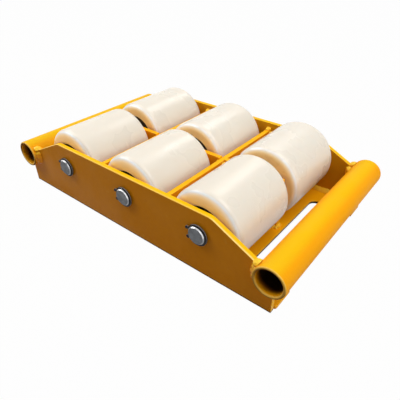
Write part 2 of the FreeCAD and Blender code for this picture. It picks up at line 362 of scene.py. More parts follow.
@dataclass(frozen=True)
class FineGrain(Effect):
    """A fine all-over unevenness, such as orange peel in paint or the skin of a plastic."""

    detail: float = 2.0

    def draw(self, bench: NodeBench, given: Outputs) -> dict[str, Socket]:
        """Draws a noise in the piece's own coordinates."""
        place = bench.read(Reading.PLACE)
        return {"height": bench.noise(place, given["scale"], self.detail)}


@dataclass(frozen=True)
class Clouds(Effect):
    """Broad soft patches, for uneven colour and gloss."""

    detail: float = 3.0
    low: float = 0.32
    high: float = 0.68

    def draw(self, bench: NodeBench, given: Outputs) -> dict[str, Socket]:
        """Draws a noise with more contrast."""
        value = bench.noise(bench.read(Reading.PLACE), given["scale"], self.detail)
        return {"mask": bench.ramp(value, self.low, self.high)}


@dataclass(frozen=True)
class Scuffs(Effect):
    """Thin streaks from handling and rolling, drawn out across the axles' direction."""

    detail: float = 2.0
    softness: float = 0.07

    def draw(self, bench: NodeBench, given: Outputs) -> dict[str, Socket]:
        """Draws a noise squeezed along Y, and keeps its peaks.

        Args:
            bench: Where the nodes go.
            given: The group's inputs.

        Returns:
            The mask of the streaks.
        """
        x, y, z = bench.axes(Reading.PLACE)
        squeezed = bench.join(x, bench.times(y, given["stretch"]), z)
        value = bench.noise(squeezed, given["scale"], self.detail)
        full = bench.plus(given["threshold"], self.softness)
        return {"mask": bench.ramp(value, given["threshold"], full)}


@dataclass(frozen=True)
class RoundedEdges(Effect):
    """The rounded and chamfered edges of a piece, told by how its surface is turned."""

    low: float = 0.13
    high: float = 0.25
    detail: float = 2.0
    strength_full: float = 0.6

    def draw(self, bench: NodeBench, given: Outputs) -> dict[str, Socket]:
        """Draws the edges, in some places stronger than in others.

        Args:
            bench: Where the nodes go.
            given: The group's inputs.

        Returns:
            The masks of the edges between flat faces, and of those on pieces turned about Y.
        """
        x, y, z = (bench.absolute(part) for part in bench.axes(Reading.FACING))
        round_about_y = bench.math("SQRT", bench.minus(1.0, bench.times(y, y)))
        nearest = {"plate": bench.largest(x, y, z), "turned": bench.largest(y, round_about_y)}
        edge_wear_and_highlight = bench.noise(bench.read(Reading.PLACE), given["scale"], self.detail)
        strength = bench.ramp(edge_wear_and_highlight, given["least"], self.strength_full)
        masks = {}
        for name, facing in nearest.items():
            edge = bench.ramp(bench.minus(1.0, facing), self.low, self.high)
            masks[name] = bench.times(edge, strength)
        return masks


@dataclass(frozen=True)
class UpwardFaces(Effect):
    """The faces that look up: where a lighter, yellower colour is painted as light from above, and
    where dust settles in patches.
    """

    detail: float = 4.0
    dusty_from: float = 0.5
    patch_from: float = 0.4
    patch_full: float = 0.75

    def draw(self, bench: NodeBench, given: Outputs) -> dict[str, Socket]:
        """Draws the upward faces, and patches that stay on them.

        Args:
            bench: Where the nodes go.
            given: The group's inputs.

        Returns:
            The masks of the painted top light and of dust.
        """
        upward = bench.axes(Reading.FACING)[2]
        level = bench.ramp(upward, self.dusty_from, 1.0)
        patch = bench.noise(bench.read(Reading.PLACE), given["scale"], self.detail)
        patch = bench.ramp(patch, self.patch_from, self.patch_full)
        return {
            "thick": bench.ramp(upward, given["lit_top_from"], given["lit_top_full"]),
            "dust": bench.times(level, patch, given["amount"]),
        }


@dataclass(frozen=True)
class TurningMarks(Effect):
    """Fine lathe marks round the Y axis: rings on the ends of a piece, and round its side."""

    middle: float = 0.5
    end_from: float = 0.6
    end_full: float = 0.8
    detail: float = 3.0
    tone_from: float = 0.3
    tone_full: float = 0.7

    def draw(self, bench: NodeBench, given: Outputs) -> dict[str, Socket]:
        """Draws marks by distance from the axis on the ends, and by place along it on the side.

        Args:
            bench: Where the nodes go.
            given: The group's inputs.

        Returns:
            The marks' height and tone, the distance from the axis and the place along it.
        """
        x, y, z = bench.axes(Reading.PLACE_IN_BOX)
        off_x = bench.minus(x, self.middle)
        off_z = bench.minus(z, self.middle)
        square = bench.plus(bench.times(off_x, off_x), bench.times(off_z, off_z))
        radius = bench.times(bench.math("SQRT", square), given["diameter"])
        along = bench.times(y, given["length"])
        facing = bench.absolute(bench.axes(Reading.FACING)[1])
        on_end = bench.ramp(facing, self.end_from, self.end_full)
        marks = bench.add("ShaderNodeTexNoise", noise_dimensions="1D")
        bench.feed(marks.inputs["W"], bench.between(on_end, along, radius))
        bench.feed(marks.inputs["Scale"], bench.math("DIVIDE", 1.0, given["pitch"]))
        bench.feed(marks.inputs["Detail"], self.detail)
        height = marks.outputs["Fac"]
        tone = bench.ramp(height, self.tone_from, self.tone_full)
        return {"height": height, "tone": tone, "radius": radius, "along": along}


@dataclass(frozen=True)
class Specks(Effect):
    """Small scattered dots, such as nibs in paint or dirt pressed into plastic."""

    softness: float = 0.05

    def draw(self, bench: NodeBench, given: Outputs) -> dict[str, Socket]:
        """Draws round dots, in a few of the cells of a grid that is spread at random.

        Args:
            bench: Where the nodes go.
            given: The group's inputs.

        Returns:
            The mask of the dots.
        """
        cells = bench.add("ShaderNodeTexVoronoi")
        bench.feed(cells.inputs["Vector"], bench.read(Reading.PLACE))
        bench.feed(cells.inputs["Scale"], given["scale"])
        far = bench.plus(given["radius"], self.softness)
        dot = bench.fade(cells.outputs["Distance"], given["radius"], far)
        chosen = bench.split(cells.outputs["Color"])[0]
        kept = bench.math("LESS_THAN", chosen, given["share"])
        return {"mask": bench.times(dot, kept)}


FINE_GRAIN = FineGrain("fine_grain", ("scale",), ("height",))
CLOUDS = Clouds("clouds", ("scale",), ("mask",))
SCUFFS = Scuffs("scuffs", ("scale", "stretch", "threshold"), ("mask",))
ROUNDED_EDGES = RoundedEdges("rounded_edges", ("scale", "least"), ("plate", "turned"))
UPWARD_FACES = UpwardFaces("upward_faces", ("scale", "amount", "lit_top_from", "lit_top_full"),
                           ("thick", "dust"))
TURNING_MARKS = TurningMarks("turning_marks", ("pitch", "diameter", "length"),
                             ("height", "tone", "radius", "along"))
SPECKS = Specks("specks", ("scale", "radius", "share"), ("mask",))


@dataclass(frozen=True)
class Finish:
    """A procedural finish: one material made of shader nodes."""

    name: str

    def draw(self, bench: NodeBench, shader: Inputs) -> None:
        """Draws the finish.

        Args:
            bench: The material's bench.
            shader: The inputs of its Principled BSDF.
        """
        raise NotImplementedError

    def material(self) -> bpy.types.Material:
        """Makes the material on first use.

        Returns:
            The material.
        """
        found = bpy.data.materials.get(self.name)
        if found is not None:
            return found
        material = bpy.data.materials.new(self.name)
        material.use_nodes = True
        bench = NodeBench(material.node_tree)
        self.draw(bench, material.node_tree.nodes["Principled BSDF"].inputs)
        return material

    def dress(self, piece: bpy.types.Object) -> None:
        """Gives a piece this finish.

        Args:
            piece: The piece.
        """
        if not piece.material_slots:
            piece.data.materials.append(self.material())
        for material_slot in piece.material_slots:
            material_slot.material = self.material()
        LOG.info("%s: %s", piece.name, self.name)


@dataclass(frozen=True)
class SatinPaint(Finish):
    """Satin paint with a little orange peel.

    It has painted light on upward faces and on faces along X, a painted highlight on its rounded
    edges, dust on top and painted shade along its foot.
    """

    base: Colour = (0.90, 0.335, 0.004, 1.0)
    deep: Colour = (0.86, 0.305, 0.003, 1.0)
    thick: Colour = (0.92, 0.41, 0.004, 1.0)
    edge: Colour = (0.98, 0.66, 0.14, 1.0)
    dust: Colour = (0.80, 0.56, 0.22, 1.0)
    nib: Colour = (0.55, 0.24, 0.01, 1.0)
    end: Colour = (0.97, 0.42, 0.003, 1.0)
    end_from: float = 0.80
    end_full: float = 0.97
    foot: Colour = (0.02, 0.010, 0.002, 1.0)
    foot_low: float = 1.2 * MM
    foot_high: float = 2.4 * MM
    foot_upright: float = 0.5
    foot_flat: float = 0.8
    foot_reach: float = 200.0 * MM
    lit_top_from: float = 0.0
    lit_top_full: float = 0.85
    roughness: float = 0.36
    rough_patch: float = 0.48
    dusty_rough: float = 0.4
    scuffed_rough: float = 0.1
    specular_level: float = 0.06
    uneven_share: float = 0.5
    cloud_scale: float = 22.0
    mottle_scale: float = 240.0
    peel_scale: float = 700.0
    peel_depth: float = 0.00012
    edge_scale: float = 90.0
    edge_least: float = 0.2
    edge_amount: float = 1.0
    scuff_scale: float = 60.0
    scuff_stretch: float = 0.12
    scuff_threshold: float = 0.68
    scuff_amount: float = 0.18
    nib_scale: float = 160.0
    nib_radius: float = 0.06
    nib_share: float = 0.06
    nib_amount: float = 0.7
    dust_scale: float = 45.0
    dust_amount: float = 0.04

    def vary(self, bench: NodeBench, colour: Socket, upward: Socket) -> Socket:
        """Leaves the paint as it is, because it is the same over the whole piece."""
        return colour

    def shaded_foot(self, bench: NodeBench) -> Socket:
        """Masks the foot of upright faces, where a dark line of painted shade runs along the floor.

        Args:
            bench: The material's bench.

        Returns:
            The mask.
        """
        along, _, height = bench.axes(Reading.PLACE)
        lean = bench.absolute(bench.axes(Reading.FACING)[2])
        low = bench.fade(height, self.foot_low, self.foot_high)
        upright = bench.fade(lean, self.foot_upright, self.foot_flat)
        far = self.foot_reach + self.foot_high
        return bench.times(low, upright, bench.fade(bench.absolute(along), self.foot_reach, far))

    def draw(self, bench: NodeBench, shader: Inputs) -> None:
        """Draws uneven colour, painted light on upward faces and faces along X, scuffs, a painted
        highlight on the edges, nibs, dust and painted shade along the foot, over orange peel.

        Args:
            bench: The material's bench.
            shader: The inputs of its Principled BSDF.
        """
        patch = CLOUDS.place(bench, scale=self.cloud_scale)["mask"]
        mottle = CLOUDS.place(bench, scale=self.mottle_scale)["mask"]
        scuff = SCUFFS.place(bench, scale=self.scuff_scale, stretch=self.scuff_stretch,
                             threshold=self.scuff_threshold)["mask"]
        nib = SPECKS.place(bench, scale=self.nib_scale, radius=self.nib_radius,
                           share=self.nib_share)["mask"]
        upward = UPWARD_FACES.place(bench, scale=self.dust_scale, amount=self.dust_amount,
                                    lit_top_from=self.lit_top_from, lit_top_full=self.lit_top_full)
        facing_end = bench.absolute(bench.axes(Reading.FACING)[0])
        colour = bench.layers(
            self.base,
            (bench.times(bench.plus(patch, mottle), self.uneven_share), self.deep),
            # painted light: upward faces get a lighter, yellower colour, as if lit from above
            (upward["thick"], self.thick),
            # painted light and shade: faces that look along X get their own colour, lighter on
            # plate ends and darker on the cross plates' faces
            (bench.ramp(facing_end, self.end_from, self.end_full), self.end),
            (bench.times(scuff, self.scuff_amount), self.edge))
        # painted highlight: the rounded edges get a paler colour, as if catching the light; the
        # scuffs above share this colour
        if self.edge_amount > 0:
            edge = ROUNDED_EDGES.place(bench, scale=self.edge_scale, least=self.edge_least)
            colour = bench.blend(bench.times(edge["plate"], self.edge_amount), colour, self.edge)
        colour = bench.layers(
            colour,
            (bench.times(nib, self.nib_amount), self.nib),
            (upward["dust"], self.dust))
        colour = self.vary(bench, colour, upward["thick"])
        # painted shade: a dark line along the foot of upright faces, next to the floor
        bench.feed(shader["Base Color"], bench.blend(self.shaded_foot(bench), colour, self.foot))
        rough = bench.plus(
            bench.between(patch, self.roughness, self.rough_patch),
            bench.times(upward["dust"], self.dusty_rough),
            bench.times(scuff, self.scuffed_rough))
        bench.feed(shader["Roughness"], rough)
        shader["Specular IOR Level"].default_value = self.specular_level
        peel = FINE_GRAIN.place(bench, scale=self.peel_scale)["height"]
        bench.feed(shader["Normal"], bench.bump(peel, self.peel_depth))


@dataclass(frozen=True)
class TubePaint(SatinPaint):
    """The same paint on an open tube.

    The bore is near black, fading to the paint towards each mouth, and the rims carry painted light
    where they look up and painted shade where they look down.
    """

    bore: Colour = (0.040, 0.018, 0.003, 1.0)
    diameter: float = 33.7 * MM
    length: float = 235.0 * MM
    bore_radius: float = 13.65 * MM
    wall_share: float = 0.35
    bore_fade_start: float = 1.0 * MM
    bore_fade_end: float = 11.0 * MM
    lit_rim: Colour = (1.0, 0.60, 0.10, 1.0)
    shaded_rim: Colour = (0.30, 0.11, 0.005, 1.0)
    rim_near: float = 0.5 * MM
    rim_far: float = 1.7 * MM
    rim_tilt: float = 0.35

    def vary(self, bench: NodeBench, colour: Socket, upward: Socket) -> Socket:
        """Lays the dark bore over the paint, fading out towards the mouths, and then the painted
        light and shade of the rims.

        Args:
            bench: The material's bench.
            colour: The paint's colour.
            upward: Not used.

        Returns:
            The colour of the whole tube.
        """
        place = TURNING_MARKS.place(bench, pitch=MM, diameter=self.diameter, length=self.length)
        wall = self.diameter / 2 - self.bore_radius
        painted = self.bore_radius + self.wall_share * wall
        inside = bench.fade(place["radius"], self.bore_radius, painted)
        other_mouth = bench.minus(self.length, place["along"])
        depth = bench.math("MINIMUM", place["along"], other_mouth)
        deep_inside = bench.ramp(depth, self.bore_fade_start, self.bore_fade_end)
        tilt = bench.ramp(bench.axes(Reading.FACING)[2], -self.rim_tilt, self.rim_tilt)
        return bench.layers(
            colour,
            (inside, bench.blend(deep_inside, self.base, self.bore)),
            # painted light and shade: the rims are lighter where they look up and darker where they
            # look down
            (bench.fade(depth, self.rim_near, self.rim_far),
             bench.blend(tilt, self.shaded_rim, self.lit_rim)))


@dataclass(frozen=True)
class SidePlatePaint(SatinPaint):
    """The same paint on a side plate, with a painted highlight along the outer rim of its top and
    painted shade on its inner face.
    """

    rubbed_and_highlight: Colour = (1.0, 0.74, 0.26, 1.0)
    level_share: float = 0.3
    tilt_from: float = 0.1
    tilt_full: float = 0.4
    rim_from: float = 107.8 * MM
    rim_full: float = 110.2 * MM
    inner: Colour = (0.58, 0.245, 0.003, 1.0)
    inner_full: float = 104.7 * MM
    inner_end: float = 105.6 * MM
    sideways_from: float = 0.7
    sideways_full: float = 0.9

    def vary(self, bench: NodeBench, colour: Socket, upward: Socket) -> Socket:
        """Lays the painted highlight along the rim and the painted shade on the inner face over the
        paint.

        Args:
            bench: The material's bench.
            colour: The paint's colour.
            upward: Where the piece looks up.

        Returns:
            The colour of the whole plate.
        """
        across = bench.absolute(bench.axes(Reading.PLACE)[1])
        facing = bench.axes(Reading.FACING)
        tilt = bench.absolute(facing[0])
        sideways = bench.ramp(bench.absolute(facing[1]), self.sideways_from, self.sideways_full)
        # painted highlight: a pale band along the outer rim of the top, on faces that look up
        rim = bench.times(
            bench.ramp(across, self.rim_from, self.rim_full),
            bench.ramp(tilt, self.tilt_from, self.tilt_full, self.level_share, 1.0),
            upward)
        # painted shade: the inner face of the plate is deeper in colour
        inward = bench.times(sideways, bench.fade(across, self.inner_full, self.inner_end))
        return bench.layers(colour, (rim, self.rubbed_and_highlight), (inward, self.inner))


@dataclass(frozen=True)
class TurnedNylon(Finish):
    """Cast nylon, turned on a lathe.

    It is ivory and a little translucent, with fine rings and a few marks from use. Its end faces
    carry painted amber light and a painted glow, and its rounded edges a painted highlight.
    """

    base: Colour = (0.80, 0.743, 0.64, 1.0)
    warm: Colour = (0.77, 0.67, 0.54, 1.0)
    amber: Colour = (0.88, 0.64, 0.33, 1.0)
    pale_amber: Colour = (0.91, 0.69, 0.36, 1.0)
    dim_amber: Colour = (0.78, 0.62, 0.43, 1.0)
    rim: Colour = (0.95, 0.945, 0.935, 1.0)
    mark: Colour = (0.62, 0.54, 0.43, 1.0)
    dirt: Colour = (0.30, 0.25, 0.19, 1.0)
    glow: Colour = (1.0, 0.54, 0.14, 1.0)
    pale_glow: Colour = (0.86, 0.76, 0.66, 1.0)
    roughness: float = 0.26
    rough_patch: float = 0.36
    scuffed_rough: float = 0.02
    specular_level: float = 0.7
    diameter: float = 86.0 * MM
    length: float = 95.75 * MM
    pitch: float = 0.9 * MM
    mark_depth: float = 0.00006
    tone_amount: float = 0.10
    grain_scale: float = 1500.0
    grain_depth: float = 0.00003
    cloud_scale: float = 18.0
    patch_amount: float = 0.18
    scuff_scale: float = 26.0
    scuff_stretch: float = 7.0
    scuff_threshold: float = 0.63
    scuff_amount: float = 0.03
    speck_scale: float = 210.0
    speck_radius: float = 0.05
    speck_share: float = 0.05
    speck_amount: float = 0.35
    rim_scale: float = 70.0
    rim_least: float = 0.1
    rim_amount: float = 0.95
    soft_weight: float = 0.4
    soft_scale: float = 1.0
    soft_radius: tuple[float, float, float] = (3.0 * MM, 2.6 * MM, 2.2 * MM)
    pale_from: float = 36.5 * MM
    pale_full: float = 42.5 * MM
    pale_share: float = 0.6
    glow_strength: float = 0.32
    glow_from: float = 24.0 * MM
    glow_full: float = 36.0 * MM
    glow_least: float = 0.30
    low_from: float = 52.0 * MM
    low_full: float = 88.0 * MM
    low_share: float = 0.15
    inner_from: float = 20.0 * MM
    inner_full: float = 90.0 * MM
    inner_share: float = 0.32
    end_from: float = 0.72
    end_full: float = 0.97

    def lit_ends(self, bench: NodeBench, radius: Socket) -> tuple[Socket, Socket, Socket]:
        """Draws the painted light on the end faces: an amber colour and a glow for light coming
        through the nylon, dimmer low down and on the inner ends.

        Args:
            bench: The material's bench.
            radius: The distance from the roller's axis.

        Returns:
            The mask of the end faces, their painted amber colour, and their painted glow.
        """
        facing = bench.absolute(bench.axes(Reading.FACING)[1])
        end = bench.ramp(facing, self.end_from, self.end_full)
        across = bench.absolute(bench.axes(Reading.PLACE)[1])
        outer = bench.ramp(across, self.inner_from, self.inner_full)
        # painted shade: the end faces are dimmer and glow less low down, by height in the world,
        # and glow less on the inner ends
        height = bench.split(bench.add("ShaderNodeNewGeometry").outputs["Position"])[2]
        lit = bench.ramp(height, self.low_from, self.low_full)
        pale = bench.ramp(radius, self.pale_from, self.pale_full)
        amber = bench.blend(lit, self.dim_amber, self.amber)
        amber = bench.blend(outer, self.pale_amber, amber)
        amber = bench.blend(bench.times(pale, self.pale_share), amber, self.rim)
        spread = bench.ramp(radius, self.glow_from, self.glow_full, self.glow_least, 1.0)
        share = bench.times(
            bench.between(outer, self.inner_share, 1.0),
            bench.between(lit, self.low_share, 1.0))
        glow = bench.blend(pale, self.glow, self.pale_glow)
        return end, amber, bench.blend(bench.times(end, spread, share), BLACK, glow)

    def draw(self, bench: NodeBench, shader: Inputs) -> None:
        """Draws turned rings, warm patches, streaks, specks, a painted highlight on the rounded
        edges, and painted light and a painted glow on the end faces.

        Args:
            bench: The material's bench.
            shader: The inputs of its Principled BSDF.
        """
        patch = CLOUDS.place(bench, scale=self.cloud_scale)["mask"]
        turned = TURNING_MARKS.place(bench, pitch=self.pitch, diameter=self.diameter,
                                     length=self.length)
        scuff = SCUFFS.place(bench, scale=self.scuff_scale, stretch=self.scuff_stretch,
                             threshold=self.scuff_threshold)["mask"]
        speck = SPECKS.place(bench, scale=self.speck_scale, radius=self.speck_radius,
                             share=self.speck_share)["mask"]
        edge_wear_and_highlight = ROUNDED_EDGES.place(bench, scale=self.rim_scale, least=self.rim_least)["turned"]
        end, amber, glow = self.lit_ends(bench, turned["radius"])
        colour = bench.layers(
            self.base,
            (bench.times(patch, self.patch_amount), self.warm),
            (bench.times(turned["tone"], self.tone_amount), self.warm),
            (bench.times(scuff, self.scuff_amount), self.mark),
            # painted highlight: the rounded edges are near white
            (bench.times(edge_wear_and_highlight, self.rim_amount), self.rim),
            (end, amber),
            (bench.times(speck, self.speck_amount), self.dirt))
        bench.feed(shader["Base Color"], colour)
        # painted glow: the end faces give out light though they are no lamp
        bench.feed(shader["Emission Color"], glow)
        shader["Emission Strength"].default_value = self.glow_strength
        rough = bench.between(patch, self.roughness, self.rough_patch)
        bench.feed(shader["Roughness"], bench.plus(rough, bench.times(scuff, self.scuffed_rough)))
        shader["Specular IOR Level"].default_value = self.specular_level
        shader["Subsurface Weight"].default_value = self.soft_weight
        shader["Subsurface Radius"].default_value = self.soft_radius
        shader["Subsurface Scale"].default_value = self.soft_scale
        rings = bench.bump(turned["height"], self.mark_depth)
        grain = FINE_GRAIN.place(bench, scale=self.grain_scale)["height"]
        bench.feed(shader["Normal"], bench.bump(grain, self.grain_depth, rings))


@dataclass(frozen=True)
class TurnedSteel(Finish):
    """Bare turned steel, with rings from the lathe, brighter edges with a painted highlight on
    their upper front side, and dull patches.
    """

    base: Colour = (0.084, 0.090, 0.099, 1.0)
    bright: Colour = (0.30, 0.305, 0.315, 1.0)
    polished: Colour = (0.88, 0.88, 0.89, 1.0)
    dull: Colour = (0.07, 0.072, 0.076, 1.0)
    roughness: float = 0.30
    rough_patch: float = 0.46
    ringed_rough: float = 0.06
    metallic: float = 1.0
    diameter: float = 20.0 * MM
    length: float = 229.4 * MM
    pitch: float = 0.45 * MM
    mark_depth: float = 0.00005
    tone_amount: float = 0.35
    cloud_scale: float = 140.0
    patch_amount: float = 0.6
    edge_scale: float = 300.0
    edge_least: float = 0.1
    speck_scale: float = 600.0
    speck_radius: float = 0.10
    speck_share: float = 0.08
    speck_amount: float = 0.7
    highlight_lean: float = 0.3
    highlight_from: float = 0.20
    highlight_full: float = 0.55

    def highlight_side(self, bench: NodeBench) -> Socket:
        """Masks where a highlight is painted on the edges: the top of a piece, towards the front.

        Args:
            bench: The material's bench.

        Returns:
            The mask.
        """
        x, _, z = bench.axes(Reading.FACING)
        lean = bench.plus(z, bench.times(x, self.highlight_lean))
        return bench.ramp(lean, self.highlight_from, self.highlight_full)

    def draw(self, bench: NodeBench, shader: Inputs) -> None:
        """Draws lathe rings in colour, gloss and height, bright edges with a painted highlight on
        their upper front side, and dull patches.

        Args:
            bench: The material's bench.
            shader: The inputs of its Principled BSDF.
        """
        patch = CLOUDS.place(bench, scale=self.cloud_scale)["mask"]
        turned = TURNING_MARKS.place(bench, pitch=self.pitch, diameter=self.diameter,
                                     length=self.length)
        edge_wear_and_highlight = ROUNDED_EDGES.place(bench, scale=self.edge_scale, least=self.edge_least)["turned"]
        speck = SPECKS.place(bench, scale=self.speck_scale, radius=self.speck_radius,
                             share=self.speck_share)["mask"]
        colour = bench.layers(
            self.base,
            (bench.times(turned["tone"], self.tone_amount), self.bright),
            (bench.times(patch, self.patch_amount), self.dull),
            (edge_wear_and_highlight, self.bright),
            # painted highlight: near-white edges on the upper front side
            (bench.times(edge_wear_and_highlight, self.highlight_side(bench)), self.polished),
            (bench.times(speck, self.speck_amount), self.dull))
        bench.feed(shader["Base Color"], colour)
        rough = bench.between(patch, self.roughness, self.rough_patch)
        rough = bench.plus(rough, bench.times(turned["tone"], self.ringed_rough))
        bench.feed(shader["Roughness"], rough)
        shader["Metallic"].default_value = self.metallic
        bench.feed(shader["Normal"], bench.bump(turned["height"], self.mark_depth))


@dataclass(frozen=True)
class BlackCoat(Finish):
    """A thin black coat on steel, such as phosphate, rubbed grey on its edges, with a painted grey
    reflection on its rims.
    """

    base: Colour = (0.013, 0.013, 0.014, 1.0)
    rubbed_and_highlight: Colour = (0.17, 0.17, 0.175, 1.0)
    roughness: float = 0.42
    rough_patch: float = 0.58
    specular_level: float = 0.4
    face_from: float = 0.4
    face_full: float = 0.8
    grain_scale: float = 2600.0
    grain_depth: float = 0.00004
    cloud_scale: float = 260.0
    edge_scale: float = 500.0
    edge_least: float = 0.15
    scuff_scale: float = 220.0
    scuff_stretch: float = 0.6
    scuff_threshold: float = 0.62
    scuff_amount: float = 0.15

    def draw(self, bench: NodeBench, shader: Inputs) -> None:
        """Draws a black ground with rubbed edges, a painted grey reflection on the rims and a fine
        crystal grain.

        Args:
            bench: The material's bench.
            shader: The inputs of its Principled BSDF.
        """
        patch = CLOUDS.place(bench, scale=self.cloud_scale)["mask"]
        edge_wear_and_highlight = ROUNDED_EDGES.place(bench, scale=self.edge_scale, least=self.edge_least)["turned"]
        scuff = SCUFFS.place(bench, scale=self.scuff_scale, stretch=self.scuff_stretch,
                             threshold=self.scuff_threshold)["mask"]
        # painted reflection: faces that don't look along Y, such as the rims, are grey
        facing = bench.absolute(bench.axes(Reading.FACING)[1])
        edge = bench.fade(facing, self.face_from, self.face_full)
        rub_and_reflection = bench.largest(edge_wear_and_highlight, edge, bench.times(scuff, self.scuff_amount))
        bench.feed(shader["Base Color"], bench.blend(rub_and_reflection, self.base, self.rubbed_and_highlight))
        bench.feed(shader["Roughness"], bench.between(patch, self.roughness, self.rough_patch))
        shader["Specular IOR Level"].default_value = self.specular_level
        grain = FINE_GRAIN.place(bench, scale=self.grain_scale)["height"]
        bench.feed(shader["Normal"], bench.bump(grain, self.grain_depth))


@dataclass(frozen=True)
class MouldedBlack(Finish):
    """Black moulded rubber or plastic, with moulding rings, a matt skin and a trace of grease."""

    base: Colour = (0.012, 0.012, 0.012, 1.0)
    grease: Colour = (0.028, 0.022, 0.016, 1.0)
    roughness: float = 0.55
    rough_patch: float = 0.72
    specular_level: float = 0.3
    diameter: float = 46.0 * MM
    length: float = 91.0 * MM
    pitch: float = 1.6 * MM
    ring_depth: float = 0.00008
    grain_scale: float = 3200.0
    grain_depth: float = 0.00002
    cloud_scale: float = 180.0

    def draw(self, bench: NodeBench, shader: Inputs) -> None:
        """Draws moulding rings, a skin and greasy patches.

        Args:
            bench: The material's bench.
            shader: The inputs of its Principled BSDF.
        """
        patch = CLOUDS.place(bench, scale=self.cloud_scale)["mask"]
        rings = TURNING_MARKS.place(bench, pitch=self.pitch, diameter=self.diameter,
                                    length=self.length)
        bench.feed(shader["Base Color"], bench.blend(patch, self.base, self.grease))
        bench.feed(shader["Roughness"], bench.between(patch, self.rough_patch, self.roughness))
        shader["Specular IOR Level"].default_value = self.specular_level
        ringed = bench.bump(rings["height"], self.ring_depth)
        skin = FINE_GRAIN.place(bench, scale=self.grain_scale)["height"]
        bench.feed(shader["Normal"], bench.bump(skin, self.grain_depth, ringed))


# Below, each paint's colours for upward faces and for faces along X are painted light and shade,
# and its foot colour is painted shade along the floor.
PLATE_PAINT = SatinPaint(
    "satin_yellow_paint_on_plate", thick=(1.0, 0.46, 0.003, 1.0), end=(1.0, 0.48, 0.005, 1.0),
    edge_amount=0.5, foot_low=2.4 * MM, foot_high=3.6 * MM, foot_reach=168.0 * MM)
CROSS_PAINT = SatinPaint(
    "satin_yellow_paint_on_cross_plate", thick=(0.96, 0.49, 0.005, 1.0),
    end=(0.80, 0.27, 0.003, 1.0), edge_amount=0.5)
SIDE_PAINT = SidePlatePaint(
    "satin_yellow_paint_on_side_plate", thick=(0.92, 0.52, 0.003, 1.0),
    end=(1.0, 0.52, 0.01, 1.0), foot=(0.12, 0.05, 0.006, 1.0), edge_amount=0.6)
TUBE_PAINT = TubePaint(
    "satin_yellow_paint_on_tube", base=(0.97, 0.40, 0.001, 1.0), deep=(0.955, 0.385, 0.001, 1.0),
    thick=(0.86, 0.485, 0.001, 1.0), end=(0.97, 0.40, 0.001, 1.0), lit_top_from=0.70,
    lit_top_full=1.02, edge_amount=0.0, scuff_amount=0.0, roughness=0.50, rough_patch=0.60,
    specular_level=0.10)
WELD_PAINT = SatinPaint(
    "satin_yellow_paint_on_weld", thick=(0.98, 0.60, 0.03, 1.0), edge_amount=0.0, dust_amount=0.02,
    roughness=0.28, rough_patch=0.38, specular_level=0.18, peel_scale=420.0, peel_depth=0.00022)
ROLLER_NYLON = TurnedNylon("turned_ivory_nylon")
AXLE_STEEL = TurnedSteel("turned_axle_steel")
SPACER_STEEL = TurnedSteel(
    "turned_spacer_steel", diameter=27.0 * MM, length=209.0 * MM, pitch=0.6 * MM)
RACE_STEEL = TurnedSteel(
    "ground_inner_ring_steel", diameter=39.2 * MM, length=202.0 * MM, pitch=0.25 * MM,
    roughness=0.18, rough_patch=0.26)
BALL_STEEL = TurnedSteel(
    "polished_ball_steel", base=(0.52, 0.52, 0.53, 1.0), bright=(0.62, 0.62, 0.63, 1.0),
    dull=(0.44, 0.43, 0.42, 1.0), roughness=0.08, rough_patch=0.14, mark_depth=0.000005)
OUTER_RING_BLACK = BlackCoat("blackened_outer_ring_steel")
RETAINING_RING_BLACK = BlackCoat(
    "phosphated_ring_steel", base=(0.006, 0.006, 0.007, 1.0), specular_level=0.2,
    grain_scale=3400.0)
SEAL_RUBBER = MouldedBlack("black_seal_rubber")
CAGE_NYLON = MouldedBlack("moulded_cage_nylon", roughness=0.42, rough_patch=0.55)


def along_x(amount: float) -> Vector:
    """Gives a vector along X."""
    return Vector((amount, 0.0, 0.0))


def along_y(amount: float) -> Vector:
    """Gives a vector along Y."""
    return Vector((0.0, amount, 0.0))


@dataclass(frozen=True)
class Ripple:
    """How coarse a bead is: the pitch of its ripples, and their depth as a share of the leg."""

    pitch: float
    share: float


FINE_RIPPLE = Ripple(2.3 * MM, 0.10)
COARSE_RIPPLE = Ripple(4.4 * MM, 0.17)


@dataclass(frozen=True)
class BeadPath:
    """One fillet bead: its length, its leg, and where its root and its two legs lie along it."""

    length: float
    leg: float
    place: Callable[[float], BeadPlace]
    ripple: Ripple = FINE_RIPPLE
    spatter_room: float = 7.0 * MM

    @classmethod
    def straight(cls, start: Vector, finish: Vector, first: Vector, second: Vector, leg: float,
                 ripple: Ripple = FINE_RIPPLE) -> "BeadPath":
        """Makes a straight bead.

        Args:
            start: Where its root starts.
            finish: Where its root ends.
            first: The direction of its first leg.
            second: The direction of its second leg.
            leg: The length of each leg.
            ripple: How coarse it is.

        Returns:
            The path.
        """
        along = finish - start
        length = along.length
        return cls(length, leg, lambda run: (start + along * (run / length), first, second), ripple)

    @classmethod
    def ring(cls, middle: Vector, radius: float, first_angle: float, last_angle: float,
             mirror: int, outward: int, leg: float, ripple: Ripple) -> "BeadPath":
        """Makes a bead round part of a tube along Y.

        Args:
            middle: The tube's middle, on the face of the plate.
            radius: The radius of the root.
            first_angle: Where the bead starts, in radians.
            last_angle: Where it ends, in radians.
            mirror: The sign of X, which turns the bead over for the rear tube.
            outward: The sign of Y, away from the plate.
            leg: The length of each leg.
            ripple: How coarse it is.

        Returns:
            The path.
        """
        def place(run: float) -> BeadPlace:
            """Finds the root and the legs.

            Args:
                run: The distance along the bead.

            Returns:
                The root, and the directions of the two legs.
            """
            angle = first_angle + run / radius
            radial = Vector((mirror * math.cos(angle), 0.0, math.sin(angle)))
            return middle + radial * radius, radial, along_y(outward)

        return cls(radius * (last_angle - first_angle), leg, place, ripple)


